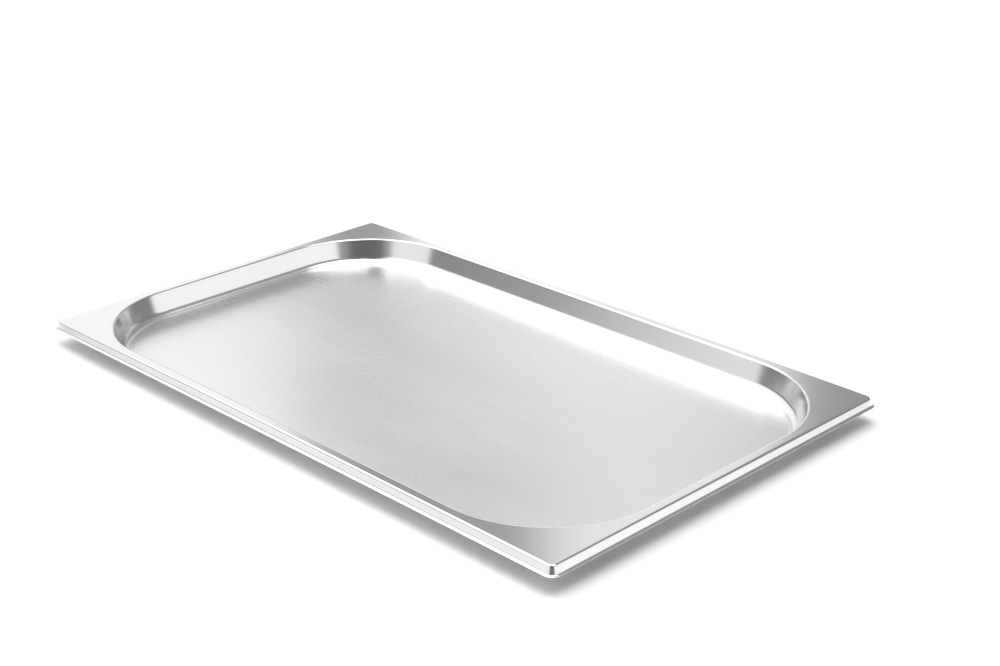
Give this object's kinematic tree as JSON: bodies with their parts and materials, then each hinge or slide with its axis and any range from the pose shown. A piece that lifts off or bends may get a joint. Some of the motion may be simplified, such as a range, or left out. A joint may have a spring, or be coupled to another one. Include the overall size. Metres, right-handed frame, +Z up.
{
  "type": "shallow gastronorm food pan",
  "caption": "Shallow rectangular stainless steel food pan with a round-cornered basin, a flat flange, and a turned-down rim with a flared lip.",
  "frame": {"origin": "middle of the underside of the floor, on the surface that the pan stands on", "axes": "+X along the pan, +Y across it, +Z up out of the basin"},
  "size_m": [0.53, 0.325, 0.02],
  "materials": {
    "stainless_steel": "fine satin with brighter bends"
  },
  "bodies": {
    "root": {"pan": "stainless_steel"}
  },
  "joints": []
}
